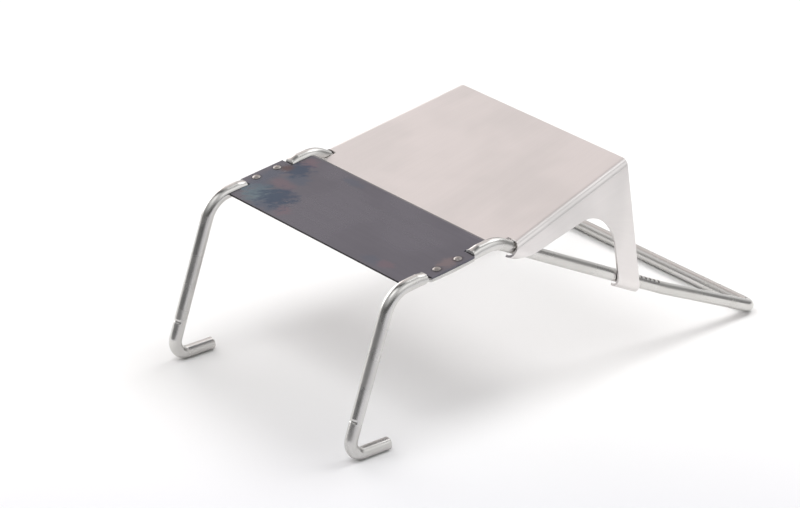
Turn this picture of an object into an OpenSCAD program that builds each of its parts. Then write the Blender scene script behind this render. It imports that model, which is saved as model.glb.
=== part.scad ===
// Manual vegetable slicer. A stand bent from one round wire carries a riveted blade, and a plate bent
// from one sheet hooks over the stand's two sloping rails. Sliding the plate along the rails, from
// notch to notch, sets the thickness of the slices.
// Millimetres. +Z is up, +Y is to the rear, and the origin is on the table under the middle of the
// footprint. Side-view points are [y, z] with y counted from the corner of the foot.

/* [Wire stand] */
// Diameter of the wire
wire_d = 5.5; // [5:0.1:6]
// Distance between the wire axes of the two sides
rail_spacing = 120; // [110:1:130]
// Length of a foot stub, from its corner to its free end
foot_len = 22; // [18:0.5:30]
// Lean of the legs to the rear, from upright
leg_lean = 19.3; // [15:0.1:23]
// Height of the corner between leg and blade rail
leg_h = 69.5; // [64:0.5:75]
// Length of the blade rail, from corner to corner
blade_rail_len = 55; // [53:0.5:60]
// Length of the notched rail, from the crest to its slight bend
rail_len = 106; // [104:0.5:112]
// Slope of the notched rail, down to the rear
rail_slope = 27.2; // [25:0.1:28.5]
// Slope of the last stretch of the rail
tail_slope = 24.7; // [23:0.1:25]

/* [Wire bends] */
// Centreline radius of the foot bend
foot_bend_r = 6; // [5:0.25:8]
// Centreline radius of the bend between leg and blade rail
leg_bend_r = 13; // [10:0.5:15]
// Centreline radius of the bend at the crest
crest_bend_r = 15; // [10:0.5:15]
// Centreline radius of the slight bend in the rail
rail_bend_r = 40; // [30:1:45]
// Centreline radius of the rear corners
corner_bend_r = 5; // [4.5:0.25:9]

/* [Blade seat] */
// Length of the pressed flat on each blade rail
seat_len = 23.2; // [21:0.1:24]
// Width of the pressed flat in its middle
seat_w = 8.4; // [7.8:0.1:9.4]
// Width of the pressed flat at its ends
seat_end_w = 7.2; // [6.4:0.1:7.6]
// Thickness of the pressed flat, below the wire's axis
seat_t = 1.8; // [1.5:0.1:2.2]
// Distance from the leg corner to the middle of the flat
seat_mid = 29.6; // [28:0.1:31]

/* [Blade] */
// Width of the blade, from its front edge to its cutting edge
blade_w = 46.5; // [44:0.5:48]
// Thickness of the blade
blade_t = 0.8; // [0.6:0.1:1.1]
// Tilt of the blade, up to the rear
blade_tilt = 7; // [5:0.1:9]
// Distance from the leg corner to the blade's front edge
blade_front = 7.1; // [6:0.1:8]
// Width of the bevel along the cutting edge
bevel_w = 1.6; // [1:0.1:2.4]
// Reach of an end tab past the wire's axis
tab_reach = 3.8; // [3.4:0.1:4]

/* [Rivets] */
// Diameter of a rivet's shank
rivet_d = 2.4; // [2:0.1:2.6]
// Diameter of a rivet's head
rivet_head_d = 3.5; // [3.2:0.1:4]
// Height of a rivet's domed head
rivet_head_h = 0.7; // [0.5:0.05:0.9]
// Distance between the two rivets of a tab
rivet_spacing = 11.2; // [9:0.1:14]

/* [Slicing plate] */
// Thickness of the sheet
sheet_t = 1; // [0.8:0.1:1.2]
// Tilt of the plate's top, up to the rear
plate_tilt = 13; // [11:0.1:14]
// Drop of the plate's top face under the crest, square to the plate
plate_drop = 3.7; // [3.3:0.1:4.2]
// Distance from the crest to the plate's front edge, along the plate
plate_front = 0.5; // [0:0.1:2]
// Distance from the crest to the plate's rear edge, level
plate_rear = 77.2; // [75:0.1:79]
// Inner radius of the fold between top and flange
fold_r = 2; // [1.5:0.1:2.4]
// Outward lean of the flanges, seen along the rail
flange_lean = 11.5; // [9:0.1:13]
// Distance from the crest to the front end of the front hooks
hook_front = 9.4; // [8:0.1:9.6]
// Length of a front hook along the rail, at its top
hook_len = 12.1; // [10:0.1:15]
// Length of a front hook's lip under the rail
hook_toe = 2.2; // [1.5:0.1:4]
// Turn of a hook's lip round the wire
hook_turn = 112; // [100:1:130]
// Width of a rear leg
rear_leg_w = 12; // [10:0.1:13]
// Radius of the arch in a flange
arch_r = 16; // [12:0.5:17]
// Height of the arch's top under the crest
arch_drop = 3.9; // [3.5:0.1:6]
// Slope of the arch's straight edge
arch_slope = 9.5; // [7:0.1:11]

/* [Thickness notches] */
// Distance between two notches
notch_pitch = 2.8; // [2.4:0.1:2.8]
// Depth of a notch in the top of the rail
notch_depth = 0.8; // [0.4:0.05:1]
// Number of notches on a rail
notch_count = 8; // [5:1:8]
// Distance from the crest to the first notch
notch_first = 81.4; // [80.5:0.1:81.5]

/* [Clearances] */
// Gap between the blade's ends and the round wire
blade_gap = 0.25; // [0.15:0.05:0.4]
// Gap all round a rivet's shank
rivet_gap = 0.05; // [0.03:0.01:0.1]
// Gap between a hook and the side of the rail
hook_gap = 0.45; // [0.35:0.05:0.6]
// Extra gap under the rail, for lifting the plate out of a notch
hook_drop = 0.5; // [0.3:0.05:0.7]
// Gap round the rail in the plate's front corners, and over it under the rest ears
slot_gap = 0.3; // [0.25:0.01:0.34]

/* [Hidden] */
$fn = 64;
// Reach of cutting shapes past the material, across the whole part and at a face
far = 200;
over = 1;
// Shapes that join end inside each other and differ by a hair
hair = 0.01;
wire_r = wire_d / 2;
rail_x = rail_spacing / 2;

function unit(angle) = [cos(angle), sin(angle)];
function heading(a, b) = atan2(b[1] - a[1], b[0] - a[0]);
function half_turn(t) = t > 180 ? t - 360 : t < -180 ? t + 360 : t;
function turn(a, b, c) = half_turn(heading(b, c) - heading(a, b));
function setback(a, b, c, r) = r * tan(abs(turn(a, b, c)) / 2);

// Corners of the wire's axis in side view
foot_tip = [foot_len, wire_r];
foot_corner = [0, wire_r];
leg_top = [(leg_h - wire_r) * tan(leg_lean), leg_h];
crest = leg_top + blade_rail_len * unit(blade_tilt);
rail_end = crest + rail_len * unit(-rail_slope);
rear_corner = [rail_end[0] + (rail_end[1] - wire_r) / tan(tail_slope), wire_r];
wire_corners = [foot_tip, foot_corner, leg_top, crest, rail_end, rear_corner];
bend_radii = [foot_bend_r, leg_bend_r, crest_bend_r, rail_bend_r];
bend_setbacks = [
  for (i = [1:4])
    setback(wire_corners[i - 1], wire_corners[i], wire_corners[i + 1], bend_radii[i - 1])
];
straight_ends = concat([0], bend_setbacks, [corner_bend_r]);
tip_chamfer = 0.5;
bend_d = wire_d + 2 * hair;
bend_lap = 0.1;

// Middle of the footprint, from the front of the foot bends to the back of the cross bar
front_y = bend_setbacks[0] - foot_bend_r - wire_r;
mid_y = (front_y + rear_corner[0] + wire_r) / 2;

// Press mark on the front of each leg
nick_z = 18;
nick_d = 2.4;
nick_depth = 0.35;

// Seat. Its outline is two arcs, from the width at its ends to the full width in the middle.
// At each end the wire's top rises over a steep shoulder to the knee, and from there in a long taper.
seat_shoulder = 0.6;
seat_knee = 1.9;
seat_taper = 9;
seat_run_out = 3;
seat_bite = 0.3;
seat_half = seat_len / 2 + seat_bite;
seat_bulge = (seat_w - seat_end_w) / 2;
seat_arc_r = (pow(seat_half, 2) + pow(seat_bulge, 2)) / (2 * seat_bulge);

// Blade
blade_half = rail_x - wire_r - blade_gap;
tab_half = rail_x + tab_reach;
tab_gap = 0.3;
edge_t = 0.15;

// Plate. The flanges contain the rail's direction, so the fold runs at fold_angle to the rail.
hook_r = wire_r + hook_gap;
climb = plate_tilt + rail_slope;
fold_angle = atan(tan(climb) / cos(flange_lean));
fold_turn = acos(sin(flange_lean) * cos(climb));
fold_x = hook_r - fold_r;
fold_drop = plate_drop + fold_r + sheet_t - hook_drop * cos(climb);
fold_mid = [fold_x, -(fold_drop + fold_x * cos(fold_turn)) / sin(fold_turn)];
fold_end = fold_mid + (fold_r + sheet_t) * unit(fold_turn);
seam = 2 * hair;
seam_lap = 0.3;
arc_steps = 14;
front_half = blade_half - blade_gap;
plate_rear_y = crest[0] + plate_rear;
leg_front_y = plate_rear_y - rear_leg_w;
arch_mid = [leg_front_y - arch_r, crest[1] - arch_drop - arch_r];
arch_start = arch_mid + (arch_r - hair) * unit(90 + arch_slope);
hook_back = hook_front + hook_len;
arch_start_run = (arch_start - crest) * unit(-rail_slope);
hook_heel = arch_start - (arch_start_run - hook_back) / cos(arch_slope + rail_slope) * unit(arch_slope);
hook_toe_end = crest + (hook_front + hook_toe) * unit(-rail_slope)
  - (hook_r + sheet_t + hook_drop) * unit(90 - rail_slope);
ear_reach = 2;
ear_h = 3;
ear_place = notch_first + notch_pitch;

// Places in the fold's frame taken to the rail's frame, and from there to the plate's
function fold_to_flange(p) =
  [
    p[0], p[1] * cos(fold_angle) - p[2] * sin(fold_angle),
    p[1] * sin(fold_angle) + p[2] * cos(fold_angle)
  ];
function flange_to_rail(p) =
  [
    rail_x + p[0] * cos(flange_lean) - p[2] * sin(flange_lean), p[1],
    p[0] * sin(flange_lean) + p[2] * cos(flange_lean) - hook_drop
  ];
function rail_to_plate(p) =
  [p[0], p[1] * cos(climb) + p[2] * sin(climb), p[2] * cos(climb) - p[1] * sin(climb)];
function edge_at(run) = rail_to_plate(flange_to_rail(fold_to_flange([fold_end[0], run, fold_end[1]])));
function arc(mid, r, from, to) =
  [for (i = [0:arc_steps]) mid + r * unit(from + (to - from) * i / arc_steps)];

// The top's straight side edge, as half width at a distance along the plate
edge_a = edge_at(0);
edge_b = edge_at(far);
edge_taper = (edge_b[0] - edge_a[0]) / (edge_b[1] - edge_a[1]);
function edge_half(y) = edge_a[0] + edge_taper * (y - edge_a[1]);

// Shifts side-view places to the origin in the middle of the footprint
module footprint() {
  translate([0, -mid_y, 0])
    children();
}

// Turns a shape drawn in [y, z] upright into the side plane at x
module side_plane(x) {
  translate([x, 0, 0])
    rotate([90, 0, 90])
      children();
}

// Frame of the blade rail: y runs along its axis from the leg corner, z is square to it
module on_blade_rail() {
  translate([0, leg_top[0], leg_top[1]])
    rotate([blade_tilt, 0, 0])
      children();
}

// Frame of the notched rail: y runs along its axis from the crest, z is square to it
module on_rail() {
  translate([0, crest[0], crest[1]])
    rotate([-rail_slope, 0, 0])
      children();
}

module both_sides() {
  children();
  mirror([1, 0, 0])
    children();
}

// Straight run between two corners, ending just inside the bends
module wire_straight(a, b, skip_a, skip_b) {
  run = norm(b - a) - skip_a - skip_b + 2 * bend_lap;
  translate(a + (skip_a - bend_lap) * unit(heading(a, b)))
    rotate(heading(a, b))
      rotate([0, 90, 0])
        cylinder(d = wire_d, h = run);
}

module wire_bend(a, b, c, r) {
  swing = turn(a, b, c);
  side = sign(swing);
  start = b - setback(a, b, c, r) * unit(heading(a, b));
  centre = start + side * r * unit(heading(a, b) + 90);
  translate(centre)
    rotate(heading(a, b) - side * 90 + min(swing, 0))
      bend_arc(r, abs(swing));
}

module bend_arc(r, swing) {
  rotate_extrude(angle = swing)
    translate([r, 0])
      circle(d = bend_d);
}

// Foot stub with a chamfered free end
module foot_stub() {
  run = foot_len - bend_setbacks[0] + bend_lap;
  translate(foot_tip)
    rotate([0, -90, 0])
      rotate_extrude()
        polygon([[0, 0], [wire_r - tip_chamfer, 0], [wire_r, tip_chamfer], [wire_r, run], [0, run]]);
}

// One side of the stand, from the foot's free end to the rear corner
module wire_side() {
  foot_stub();
  for (i = [1:4]) {
    wire_bend(wire_corners[i - 1], wire_corners[i], wire_corners[i + 1], bend_radii[i - 1]);
    wire_straight(wire_corners[i], wire_corners[i + 1], straight_ends[i], straight_ends[i + 1]);
  }
}

// Rear corner bend, in the plane of the rail's last stretch
module rear_bend() {
  translate([0, rear_corner[0], rear_corner[1]])
    rotate([-tail_slope, 0, 0])
      translate([rail_x - corner_bend_r, -corner_bend_r, 0])
        bend_arc(corner_bend_r, 90);
}

module cross_bar() {
  run = rail_spacing - 2 * corner_bend_r + 2 * bend_lap;
  translate([-run / 2, rear_corner[0], rear_corner[1]])
    rotate([0, 90, 0])
      cylinder(d = wire_d, h = run);
}

// Material pressed away above and below a seat, down to just inside the flat
module seat_relief() {
  half = seat_len / 2;
  clear = wire_r + over;
  translate([0, seat_mid, 0])
    side_plane(rail_x - seat_w)
      linear_extrude(2 * seat_w) {
        polygon([
          [-half, -seat_bite], [half, -seat_bite], [half + seat_shoulder, seat_knee],
          [half + seat_taper, clear], [-half - seat_taper, clear], [-half - seat_shoulder, seat_knee]
        ]);
        polygon([
          [-half, seat_bite - seat_t], [half, seat_bite - seat_t],
          [half + seat_run_out, -clear], [-half - seat_run_out, -clear]
        ]);
      }
}

// Flat that the pressed wire spreads into
module seat_flat() {
  arc_x = seat_arc_r - seat_w / 2;
  translate([rail_x, seat_mid, -seat_t])
    linear_extrude(seat_t)
      intersection() {
        square([seat_w, 2 * seat_half], center = true);
        translate([arc_x, 0])
          circle(r = seat_arc_r);
        translate([-arc_x, 0])
          circle(r = seat_arc_r);
      }
}

module rivet_places() {
  for (y = [-1, 1])
    translate([rail_x, seat_mid + y * rivet_spacing / 2, 0])
      children();
}

module rivet_bores() {
  on_blade_rail()
    both_sides()
      rivet_places()
        translate([0, 0, -seat_t - over])
          cylinder(d = rivet_d + 2 * rivet_gap, h = seat_t + blade_t + 2 * over);
}

// Saw-tooth notches across the top of a rail
module rail_notches() {
  clear = wire_r + over;
  side_plane(rail_x - wire_d)
    linear_extrude(2 * wire_d)
      for (i = [0:notch_count - 1])
        translate([notch_first + i * notch_pitch - sheet_t / 2, 0])
          polygon([
            [0, wire_r - notch_depth], [sheet_t, wire_r - notch_depth],
            [sheet_t + notch_depth, clear], [0, clear]
          ]);
}

module leg_nick() {
  front = foot_corner + (nick_z - wire_r) / cos(leg_lean) * unit(90 - leg_lean);
  side_plane(rail_x - wire_d)
    translate(front + (wire_r - nick_depth + nick_d / 2) * unit(180 - leg_lean))
      cylinder(d = nick_d, h = 2 * wire_d);
}

module wire_frame() {
  color("silver")
    footprint()
      difference() {
        union() {
          cross_bar();
          both_sides() {
            rear_bend();
            difference() {
              side_plane(rail_x)
                wire_side();
              on_blade_rail()
                seat_relief();
              on_rail()
                rail_notches();
              leg_nick();
            }
            on_blade_rail()
              seat_flat();
          }
        }
        rivet_bores();
      }
}

module blade() {
  tab_a = seat_mid - blade_front - seat_len / 2 + tab_gap;
  tab_b = seat_mid - blade_front + seat_len / 2 - tab_gap;
  color("dimgray")
    footprint()
      difference() {
        on_blade_rail()
          translate([0, blade_front, 0])
            difference() {
              linear_extrude(blade_t)
                polygon([
                  [-blade_half, 0], [blade_half, 0], [blade_half, tab_a], [tab_half, tab_a],
                  [tab_half, tab_b], [blade_half, tab_b], [blade_half, blade_w], [-blade_half, blade_w],
                  [-blade_half, tab_b], [-tab_half, tab_b], [-tab_half, tab_a], [-blade_half, tab_a]
                ]);
              side_plane(-tab_half)
                linear_extrude(2 * tab_half)
                  polygon([
                    [blade_w - bevel_w, blade_t], [blade_w, edge_t], [blade_w + over, edge_t],
                    [blade_w + over, blade_t + over], [blade_w - bevel_w, blade_t + over]
                  ]);
            }
        rivet_bores();
      }
}

module rivet_head() {
  dome_r = (pow(rivet_head_d / 2, 2) + pow(rivet_head_h, 2)) / (2 * rivet_head_h);
  rotate_extrude()
    intersection() {
      translate([0, rivet_head_h - dome_r])
        circle(r = dome_r);
      square([rivet_head_d, rivet_head_h]);
    }
}

// Rivet with a domed head on the blade and another under the seat
module rivet(side, row) {
  color("gainsboro")
    footprint()
      on_blade_rail()
        translate([side * rail_x, seat_mid + row * rivet_spacing / 2, 0]) {
          translate([0, 0, blade_t])
            rivet_head();
          translate([0, 0, -seat_t])
            cylinder(d = rivet_d, h = seat_t + blade_t);
          translate([0, 0, -seat_t])
            mirror([0, 0, 1])
              rivet_head();
        }
}

// Frame of the plate: y runs up along it from the crest, z is square to it
module on_plate() {
  translate([0, crest[0], crest[1]])
    rotate([plate_tilt, 0, 0])
      children();
}

// Frame of the right flange: y runs along the rail, z up the sheet from the middle of the hooks
module on_flange() {
  on_rail()
    translate([rail_x, 0, -hook_drop])
      rotate([0, -flange_lean, 0])
        children();
}

// Pulls a profile drawn in [x, z] along y
module along_y(from, to) {
  translate([0, to, 0])
    rotate([90, 0, 0])
      linear_extrude(to - from)
        children();
}

// Flat top, out to the folds
module plate_top() {
  rear_y = plate_rear / cos(plate_tilt) + sheet_t;
  front_edge = edge_half(plate_front);
  rear_edge = edge_half(rear_y);
  on_plate()
    translate([0, 0, -plate_drop - sheet_t])
      linear_extrude(sheet_t)
        polygon([
          [-front_edge, plate_front], [front_edge, plate_front], [rear_edge, rear_y], [-rear_edge, rear_y]
        ]);
}

// Fold and flange, drawn square to the fold and cut off where the hooks start
module flange() {
  lap = seam_lap * unit(fold_turn + 90);
  outer = concat(
    [[hook_r + sheet_t + seam, -far]], arc(fold_mid, fold_r + sheet_t + seam, 0, fold_turn),
    [fold_mid + (fold_r + sheet_t + seam) * unit(fold_turn) + lap]
  );
  inner = concat(
    [fold_mid + (fold_r - seam) * unit(fold_turn) + lap], arc(fold_mid, fold_r - seam, fold_turn, 0),
    [[hook_r - seam, -far]]
  );
  on_flange()
    difference() {
      rotate([fold_angle, 0, 0])
        along_y(-far / 4, far)
          polygon(concat(outer, inner));
      translate([0, 0, -far])
        cube([4 * far, 4 * far, 2 * far], center = true);
    }
}

// Lips that turn under the rail
module hook_lips() {
  outer_r = hook_r + sheet_t + 2 * seam;
  inner_r = hook_r - 2 * seam;
  on_flange()
    along_y(0, far / 2)
      polygon(concat(
        [[outer_r, seam_lap]], arc([0, 0], outer_r, 0, -hook_turn),
        arc([0, 0], inner_r, -hook_turn, 0), [[inner_r, seam_lap]]
      ));
}

// Ear that stands in a notch and carries the rear of the plate
module rest_ear() {
  bottom = hook_drop * cos(flange_lean) + wire_r + slot_gap;
  on_flange()
    translate([-ear_reach, ear_place - sheet_t / 2, bottom])
      cube([ear_reach + hook_r + sheet_t / 2, sheet_t, ear_h]);
}

// Space under the flange's strip, from the slanted rear of the front hook to the rear leg
module arch_window() {
  bottom = arch_mid[1] - far;
  toe = hook_toe_end + over * unit(heading(hook_heel, hook_toe_end));
  side_plane(-far)
    linear_extrude(2 * far) {
      translate(arch_mid)
        circle(r = arch_r);
      polygon([
        arch_mid, arch_start, hook_heel, toe,
        [toe[0], bottom], [leg_front_y - hair, bottom], [leg_front_y - hair, arch_mid[1]]
      ]);
    }
}

module slicing_plate() {
  color("lightgray")
    footprint()
      difference() {
        union() {
          plate_top();
          both_sides() {
            flange();
            hook_lips();
            rest_ear();
          }
        }
        translate([-far, plate_rear_y, -far])
          cube(2 * far);
        arch_window();
        // Front corners, which leave a tongue between the wires, and room round the rails
        both_sides()
          on_rail() {
            translate([front_half, -far, -far])
              cube([far, far + hook_front, 2 * far]);
            translate([rail_x, 0, 0])
              along_y(-far, hook_back)
                circle(r = wire_r + slot_gap);
          }
      }
}

wire_frame();
blade();
rivet(-1, -1);  // rivet_left_front
rivet(-1, 1);  // rivet_left_rear
rivet(1, -1);  // rivet_right_front
rivet(1, 1);  // rivet_right_rear
slicing_plate();
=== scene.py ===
"""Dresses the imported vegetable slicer: wire stand, blade, rivets and slicing plate, in a white studio.

Sizes are in millimetres and degrees, and meshes are written in metres. Side-view places are [y, z], with
y counted from the corner of the foot, as in the part's source.
"""

import logging
from dataclasses import dataclass, field
from enum import Enum
from typing import Any

import bpy
import numpy as np
from mathutils import Matrix, Vector


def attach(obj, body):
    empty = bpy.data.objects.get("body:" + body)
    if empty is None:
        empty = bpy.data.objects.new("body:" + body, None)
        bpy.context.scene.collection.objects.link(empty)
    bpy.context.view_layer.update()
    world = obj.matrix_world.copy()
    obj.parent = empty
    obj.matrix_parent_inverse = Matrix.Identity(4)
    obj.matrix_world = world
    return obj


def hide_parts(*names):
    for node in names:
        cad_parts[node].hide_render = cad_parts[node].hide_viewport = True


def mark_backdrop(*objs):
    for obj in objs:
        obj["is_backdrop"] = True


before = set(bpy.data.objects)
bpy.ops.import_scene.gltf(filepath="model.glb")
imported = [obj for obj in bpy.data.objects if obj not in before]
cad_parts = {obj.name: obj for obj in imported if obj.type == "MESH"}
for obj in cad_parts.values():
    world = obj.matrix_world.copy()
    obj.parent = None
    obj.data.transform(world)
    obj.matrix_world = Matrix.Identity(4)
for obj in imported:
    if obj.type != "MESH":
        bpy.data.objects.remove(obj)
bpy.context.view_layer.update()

MM = 0.001
TINY = 1e-6
# Name of the mask of the notches, where the wire's finish paints shade.
NOTCH_SHADE_MASK = "notch_shade_mask"
MIX_COLOURS, MIX_RESULT = (6, 7), 2  # sockets of a Mix node that carry colours
MIRROR = np.array([-1.0, 1.0, 1.0])
BOX_QUADS = np.array([
    [0, 1, 3, 2], [4, 6, 7, 5], [0, 4, 5, 1], [2, 3, 7, 6], [0, 2, 6, 4], [1, 5, 7, 3]
])
LOG = logging.getLogger("slicer")

Array = np.ndarray
Socket = bpy.types.NodeSocket
Pair = tuple[float, float]
Triple = tuple[float, float, float]
Colour = Triple


def cosd(angle: float | Array) -> float | Array:
    """Cosine of an angle in degrees."""
    return np.cos(np.radians(angle))


def sind(angle: float | Array) -> float | Array:
    """Sine of an angle in degrees."""
    return np.sin(np.radians(angle))


def tand(angle: float | Array) -> float | Array:
    """Tangent of an angle in degrees."""
    return np.tan(np.radians(angle))


def direction(azimuth: float, elevation: float) -> Triple:
    """Unit vector at an azimuth from +X and an elevation, in degrees."""
    level = cosd(elevation)
    return level * cosd(azimuth), level * sind(azimuth), sind(elevation)


def circle(count: int) -> Array:
    """Angles of points spaced evenly round a circle, in radians."""
    return np.linspace(0.0, 2 * np.pi, count, endpoint=False)


def shares(count: int, axes: int = 0) -> Array:
    """Even steps from 0 to 1, with further axes of one entry each."""
    return np.linspace(0.0, 1.0, count).reshape((-1,) + (1,) * axes)


def between(a: float | Array, b: float | Array, share: Array) -> Array:
    """Straight line from a, at a share of 0, to b, at a share of 1."""
    return a + (b - a) * share


def blend_step(low: float, high: float, value: Array) -> Array:
    """Smooth step: 0 below low, 1 above high, and 3t^2 - 2t^3 between them."""
    t = np.clip((value - low) / (high - low), 0.0, 1.0)
    return t * t * (3.0 - 2.0 * t)


def grid_faces(rows: int, cols: int, wrap: bool = False, start: int = 0) -> Array:
    """Quads of a grid of rows by cols points, numbered row by row.

    Args:
        rows: Number of rows.
        cols: Number of points in a row.
        wrap: Whether the last point of a row joins its first.
        start: Number of the grid's first point.

    Returns:
        Quads as an array of four point numbers each.
    """
    ids = start + np.arange(rows * cols).reshape(rows, cols)
    if wrap:
        ids = np.hstack([ids, ids[:, :1]])
    return np.stack([ids[:-1, :-1], ids[:-1, 1:], ids[1:, 1:], ids[1:, :-1]], axis=-1).reshape(-1, 4)


def weld(keys: Array, quads: Array, grain: float = 1e-4) -> tuple[Array, Array, Array]:
    """Joins points that share a place, and sorts out the quads that close up.

    Args:
        keys: One row of coordinates for each point.
        quads: Quads as point numbers.
        grain: Distance within which two points are one.

    Returns:
        The number of the first point at each place, the quads, and the triangles that closed quads leave.
    """
    cells = np.round(keys / grain).astype(np.int64)
    _, first, inverse = np.unique(cells, axis=0, return_index=True, return_inverse=True)
    quads = inverse.reshape(-1)[quads]
    same = quads == np.roll(quads, -1, axis=1)
    full = quads[~same.any(axis=1)]
    closed = quads[same.sum(axis=1) == 1]
    drop = np.argmax(closed == np.roll(closed, -1, axis=1), axis=1)
    keep = (drop[:, None] + np.arange(1, 4)) % 4
    return first, full, np.take_along_axis(closed, keep, axis=1)


def outline(quads: Array, tris: Array) -> Array:
    """Directed edges that only one face uses: the outline of an open sheet.

    Args:
        quads: Quads as point numbers.
        tris: Triangles as point numbers.

    Returns:
        Edges as pairs of point numbers, in the order that their face runs.
    """
    loops = [np.stack([f, np.roll(f, -1, axis=1)], axis=-1).reshape(-1, 2) for f in (quads, tris)]
    edges = np.concatenate(loops)
    size = edges.max() + 1
    code = edges[:, 0] * size + edges[:, 1]
    return edges[~np.isin(code, edges[:, 1] * size + edges[:, 0])]


def add_piece(name: str, points: Array, quads: Array, tris: Array | None = None) -> bpy.types.Object:
    """Makes a smooth-shaded piece from points in millimetres.

    Args:
        name: Name of the piece.
        points: Points, one row of x, y, z each.
        quads: Quads as point numbers.
        tris: Triangles as point numbers.

    Returns:
        The new object, at the origin.
    """
    tris = np.zeros((0, 3), int) if tris is None else tris
    mesh = bpy.data.meshes.new(name)
    mesh.vertices.add(len(points))
    mesh.vertices.foreach_set("co", (points * MM).astype(np.float32).ravel())
    corners = np.concatenate([quads.ravel(), tris.ravel()])
    sides = np.concatenate([np.full(len(quads), 4), np.full(len(tris), 3)])
    mesh.loops.add(len(corners))
    mesh.loops.foreach_set("vertex_index", corners.astype(np.int32))
    mesh.polygons.add(len(sides))
    mesh.polygons.foreach_set("loop_start", (np.cumsum(sides) - sides).astype(np.int32))
    mesh.polygons.foreach_set("use_smooth", np.ones(len(sides), bool))
    mesh.update(calc_edges=True)
    mesh.validate()
    piece = bpy.data.objects.new(name, mesh)
    bpy.context.scene.collection.objects.link(piece)
    return piece


def add_pattern(piece: bpy.types.Object, name: str, values: Array) -> None:
    """Stores a vector for each point of a piece, which its finish reads as a place on the surface.

    Args:
        piece: The piece.
        name: Name of the attribute.
        values: One row of three numbers for each point, in millimetres.
    """
    layer = piece.data.attributes.new(name, "FLOAT_VECTOR", "POINT")
    layer.data.foreach_set("vector", (values * MM).astype(np.float32).ravel())


def add_mask(piece: bpy.types.Object, name: str, values: Array) -> None:
    """Stores a share from 0 to 1 for each point of a piece, which its finish reads as a mask."""
    layer = piece.data.attributes.new(name, "FLOAT", "POINT")
    layer.data.foreach_set("value", values.astype(np.float32))


def break_edges(piece: bpy.types.Object, width: float, angle: float) -> None:
    """Rounds the sharp edges of a piece a little.

    Args:
        piece: The piece.
        width: Width of the rounding, in millimetres.
        angle: Turn between two faces, in degrees, from which their edge is sharp.
    """
    bevel = piece.modifiers.new("broken_edges", "BEVEL")
    bevel.width = width * MM
    bevel.segments = 2
    bevel.limit_method = "ANGLE"
    bevel.angle_limit = np.radians(angle)
    bevel.harden_normals = True
    bevel.use_clamp_overlap = True


def close_sheet(name: str, top: Array, under: Array, quads: Array, tris: Array) -> bpy.types.Object:
    """Closes a sheet: its top, its underside with the faces turned round, and walls along the outline.

    Args:
        name: Name of the piece.
        top: Points of the top.
        under: Points of the underside, in the same order.
        quads: Quads of the top.
        tris: Triangles of the top.

    Returns:
        The closed piece.
    """
    count = len(top)
    rim = outline(quads, tris)
    walls = np.stack([rim[:, 1], rim[:, 0], rim[:, 0] + count, rim[:, 1] + count], axis=-1)
    quads = np.concatenate([quads, quads[:, ::-1] + count, walls])
    return add_piece(name, np.concatenate([top, under]), quads, np.concatenate([tris, tris[:, ::-1] + count]))


class Lay(Enum):
    """Where a finish reads its place on the surface: an attribute of the piece, or Object coordinates."""

    WIRE = "drawn"
    SHEET = "blank"
    BAR = "bar"
    OBJECT = ""


class Graph:
    """Adds nodes to a node tree and links them."""

    def __init__(self, tree: bpy.types.NodeTree) -> None:
        """Starts on an empty tree."""
        self.tree = tree
        tree.nodes.clear()

    def node(self, kind: str, inputs: dict[Any, Any] | None = None, **settings: Any) -> bpy.types.Node:
        """Adds a node, sets its properties, and sets or links its inputs.

        Args:
            kind: The node's type.
            inputs: Values or output sockets, by the input's name or number.
            settings: The node's properties.

        Returns:
            The new node.
        """
        made = self.tree.nodes.new(kind)
        for name, value in settings.items():
            setattr(made, name, value)
        for key, value in (inputs or {}).items():
            if isinstance(value, Socket):
                self.tree.links.new(value, made.inputs[key])
            else:
                made.inputs[key].default_value = value
        return made

    def math(self, operation: str, *values: Any) -> Socket:
        """Result of a Math node on values or sockets."""
        return self.node("ShaderNodeMath", dict(enumerate(values)), operation=operation).outputs[0]

    def vector(self, operation: str, *values: Any) -> Socket:
        """Result of a Vector Math node: a number for a dot product or a length, otherwise a vector."""
        made = self.node("ShaderNodeVectorMath", dict(enumerate(values)), operation=operation)
        return made.outputs["Value" if operation in ("DOT_PRODUCT", "LENGTH") else "Vector"]

    def ramp(self, value: Any, span: Pair, to: Pair = (0.0, 1.0)) -> Socket:
        """Value taken smoothly from one range to another, and held at its ends."""
        inputs = {"Value": value, "From Min": span[0], "From Max": span[1], "To Min": to[0], "To Max": to[1]}
        return self.node("ShaderNodeMapRange", inputs, interpolation_type="SMOOTHSTEP").outputs[0]

    def mix(self, share: Any, a: Any, b: Any, blend: str = "MIX") -> Socket:
        """Mix of two colours.

        Args:
            share: Share of the second colour.
            a: First colour, or the socket that gives it.
            b: Second colour, or the socket that gives it.
            blend: The node's way of mixing.

        Returns:
            The mixed colour.
        """
        made = self.node("ShaderNodeMix", {0: share}, data_type="RGBA", blend_type=blend)
        for key, value in zip(MIX_COLOURS, (a, b)):
            if isinstance(value, Socket):
                self.tree.links.new(value, made.inputs[key])
            else:
                made.inputs[key].default_value = (*value, 1.0)
        return made.outputs[MIX_RESULT]

    def noise(self, place: Any, scale: Any, detail: float, rough: float, twist: float = 0.0) -> Socket:
        """Value of a noise texture at a place."""
        inputs = {"Vector": place, "Scale": scale, "Detail": detail, "Roughness": rough, "Distortion": twist}
        return self.node("ShaderNodeTexNoise", inputs).outputs[0]

    def surface(self, inputs: dict[str, Any]) -> None:
        """Adds a principled shader with these inputs, and links it to the material's output."""
        shader = self.node("ShaderNodeBsdfPrincipled", inputs)
        self.node("ShaderNodeOutputMaterial", {"Surface": shader.outputs[0]})


def new_material(name: str) -> tuple[bpy.types.Material, Graph]:
    """Starts a material.

    Args:
        name: Name of the material.

    Returns:
        The material and its empty graph.
    """
    material = bpy.data.materials.new(name)
    material.use_nodes = True
    return material, Graph(material.node_tree)


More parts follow.
